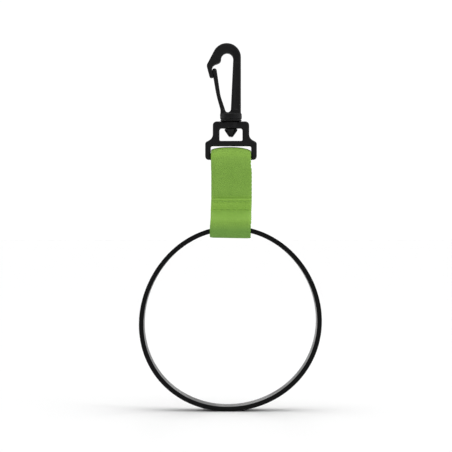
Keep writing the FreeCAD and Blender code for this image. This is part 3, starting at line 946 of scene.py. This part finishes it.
def build_stitch_tree():
    """Two rows of arched stitches on one face of the seam, each a round strand that dives in at its ends."""
    tree, get, out, sockets = new_shape_tree(
        "Seam stitches",
        (
            ("Stitches", "NodeSocketInt", 6), ("Pitch", NUMBER, 0.00225), ("Length", NUMBER, 0.0019),
            ("Thread", NUMBER, 0.00022), ("Rise", NUMBER, 0.0002), ("Side", NUMBER, -1.0),
            ("Face", NUMBER, 0.00165), ("Row gap", NUMBER, 0.0028), ("Centre X", NUMBER, 0.0014),
            ("Top row", NUMBER, -0.0521),
        ),
    )
    half = times(tree, get["Length"], 0.5)
    less = times(tree, half, -1.0)
    lift = times(tree, get["Rise"], get["Side"])
    sink = times(tree, times(tree, get["Thread"], -1.4), get["Side"])
    start = shape_node(tree, "ShaderNodeCombineXYZ", X=less, Y=sink, Z=STITCH_SLANT)
    finish = shape_node(tree, "ShaderNodeCombineXYZ", X=half, Y=sink, Z=-STITCH_SLANT)
    start_lift = shape_node(
        tree, "ShaderNodeCombineXYZ", X=times(tree, less, 0.92), Y=lift, Z=STITCH_SLANT / 2,
    )
    finish_lift = shape_node(
        tree, "ShaderNodeCombineXYZ", X=times(tree, half, 0.92), Y=lift, Z=-STITCH_SLANT / 2,
    )
    arch = shape_node(
        tree, "GeometryNodeCurvePrimitiveBezierSegment", Resolution=14,
        Start=start, Start_Handle=start_lift, End_Handle=finish_lift, End=finish,
    )
    strand = shape_node(tree, "GeometryNodeCurvePrimitiveCircle", Resolution=10, Radius=get["Thread"])
    marked = []
    for curve, name in ((arch, "run"), (strand, "round")):
        marked.append(shape_node(
            tree, "GeometryNodeStoreNamedAttribute", set_data_type="FLOAT", set_domain="POINT",
            Geometry=curve, Name=name, Value=shape_node(tree, "GeometryNodeSplineParameter"),
        ))
    stitch = shape_node(
        tree, "GeometryNodeCurveToMesh", Curve=marked[0], Profile_Curve=marked[1], Fill_Caps=True,
    )
    width = times(tree, minus(tree, get["Stitches"], 1.0), get["Pitch"])
    first = minus(tree, get["Centre X"], times(tree, width, 0.5))
    face = times(tree, get["Face"], get["Side"])
    step = shape_node(tree, "ShaderNodeCombineXYZ", X=get["Pitch"])
    both = tree.nodes.new("GeometryNodeJoinGeometry")
    for row in (0, 1):
        level = minus(tree, get["Top row"], times(tree, get["Row gap"], float(row)))
        begin = shape_node(tree, "ShaderNodeCombineXYZ", X=first, Y=face, Z=level)
        spots = shape_node(
            tree, "GeometryNodeMeshLine", Count=get["Stitches"], Start_Location=begin, Offset=step,
        )
        tree.links.new(spots, both.inputs[0])
    tilt = shape_node(
        tree, "FunctionNodeRandomValue", set_data_type="FLOAT_VECTOR",
        _0=(0, -STITCH_TILT, 0), _1=(0, STITCH_TILT, 0), Seed=7,
    )
    sewn = shape_node(
        tree, "GeometryNodeInstanceOnPoints", Points=both.outputs[0], Instance=stitch, Rotation=tilt,
    )
    solid = shape_node(tree, "GeometryNodeRealizeInstances", Geometry=sewn)
    even = shape_node(tree, "GeometryNodeSetShadeSmooth", Geometry=solid)
    run = shape_node(tree, "GeometryNodeInputNamedAttribute", set_data_type="FLOAT", Name="run")
    about = shape_node(tree, "GeometryNodeInputNamedAttribute", set_data_type="FLOAT", Name="round")
    flat = shape_node(tree, "ShaderNodeCombineXYZ", X=about, Y=run)
    mapped = shape_node(
        tree, "GeometryNodeStoreNamedAttribute", set_data_type="FLOAT2", set_domain="CORNER",
        Geometry=even, Name="Along", Value=flat,
    )
    coat = shape_node(tree, "GeometryNodeSetMaterial", Geometry=mapped, Material=GREEN_THREAD)
    tree.links.new(coat, out.inputs[0])
    return tree, sockets


STITCHES = {
    "Stitches": 6, "Pitch": 2.25 * MM, "Length": 1.95 * MM, "Thread": 0.21 * MM, "Rise": 0.16 * MM,
    "Face": 1.5 * MM, "Row gap": (SEAM_ROWS[0] - SEAM_ROWS[1]) * MM, "Centre X": (SWIVEL_X + 0.1) * MM,
    "Top row": SEAM_ROWS[0] * MM,
}
stitch_tree, stitch_sockets = build_stitch_tree()
needle_stitches = grow("needle_stitches", stitch_tree, stitch_sockets, {**STITCHES, "Side": -1.0})
bobbin_stitches = grow("bobbin_stitches", stitch_tree, stitch_sockets, {**STITCHES, "Side": 1.0})


# ---------------------------------------------------------------- what each piece follows


def follow(obj, body, slot, *nodes):
    """Stands a piece in for its CAD nodes. A piece that is blended across a joint has no body here."""
    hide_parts(*nodes)
    if body:
        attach(obj, body)


follow(hook, "hook", "hook_plastic", "hook_body", "swivel_stud")
follow(swivel_frame, "frame", "frame_plastic", "swivel_frame")
follow(needle_stitches, "strap", "thread", "needle_thread")
follow(bobbin_stitches, "strap", "thread", "bobbin_thread")
follow(band, "band", "band_rubber", "wrist_band")
follow(gate, None, "hook_plastic", "gate")
follow(webbing, None, "webbing", "strap_upper_loop", "strap_lower_loop")
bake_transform(gate, "hook", "gate", start=(-1.3 * MM, 0, -19.3 * MM), end=(-2.8 * MM, 0, -13.5 * MM))
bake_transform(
    webbing, "strap", "strap_loop",
    start=(SWIVEL_X * MM, 0, -55.6 * MM), end=(SWIVEL_X * MM, 0, -57.8 * MM),
)


# ---------------------------------------------------------------- floor, light and camera


FLOOR_HALF = 9.0


def make_floor():
    material, _, shader = new_material("Pale floor")
    shader.inputs["Base Color"].default_value = (0.92, 0.92, 0.92, 1)
    shader.inputs["Roughness"].default_value = 0.45
    shader.inputs["Specular IOR Level"].default_value = 0.5
    sides = ((-1, -1), (1, -1), (1, 1), (-1, 1))
    corners = [(i * FLOOR_HALF, j * FLOOR_HALF, BAND_FLOOR * MM) for i, j in sides]
    mesh = bpy.data.meshes.new("floor")
    mesh.from_pydata(corners, [], [(0, 1, 2, 3)])
    mesh.materials.append(material)
    link("floor", mesh)


def make_sky():
    """A soft room: bright behind the object, calmer overhead and on the side of the camera."""
    world = bpy.data.worlds.new("Soft room")
    world.use_nodes = True
    tree = world.node_tree
    backing = tree.nodes["Background"]
    facing = split_xyz(tree, tree.nodes.new("ShaderNodeTexCoord").outputs["Generated"])
    across = ramp(tree, facing["Y"], -0.95, 0.25, 0.50, 1.04)
    upwards = ramp(tree, facing["Z"], 0.15, 0.75, 1.0, 0.75)
    tree.links.new(times(tree, across, upwards), backing.inputs["Strength"])
    backing.inputs["Color"].default_value = (1, 1, 1, 1)
    bpy.context.scene.world = world


def add_lamp(name, place, aim, size, power):
    """A soft box at a place, turned towards its aim."""
    lamp = bpy.data.lights.new(name, "AREA")
    lamp.shape = "RECTANGLE"
    lamp.size, lamp.size_y = size
    lamp.energy = power
    obj = link(name, lamp)
    obj.location = Vector(place)
    obj.rotation_euler = (Vector(aim) - Vector(place)).to_track_quat("-Z", "Y").to_euler()


def add_overhead(name, towards, spread, power):
    """A wide, even light from far above, which lights the whole floor alike."""
    lamp = bpy.data.lights.new(name, "SUN")
    lamp.angle = radians(spread)
    lamp.energy = power
    obj = link(name, lamp)
    obj.rotation_euler = Vector(towards).to_track_quat("Z", "Y").to_euler()


def make_camera():
    data = bpy.data.cameras.new("Camera")
    data.sensor_width = 36.0
    data.lens = 160.2
    data.clip_start, data.clip_end = 0.01, 60.0
    camera = link("Camera", data)
    camera.location = (-0.42 * MM, -737 * MM, -60.98 * MM)
    camera.rotation_euler = (pi / 2, 0, 0)
    bpy.context.scene.camera = camera


make_floor()
make_sky()
add_overhead("Overhead", (0.10, -0.15, 1.0), 70.0, 1.25)
add_lamp("Key light", (0.75, -0.65, 0.45), (0.0, 0.0, -0.05), (0.35, 0.5), 1.2)
make_camera()
bpy.context.scene.view_settings.view_transform = "Standard"
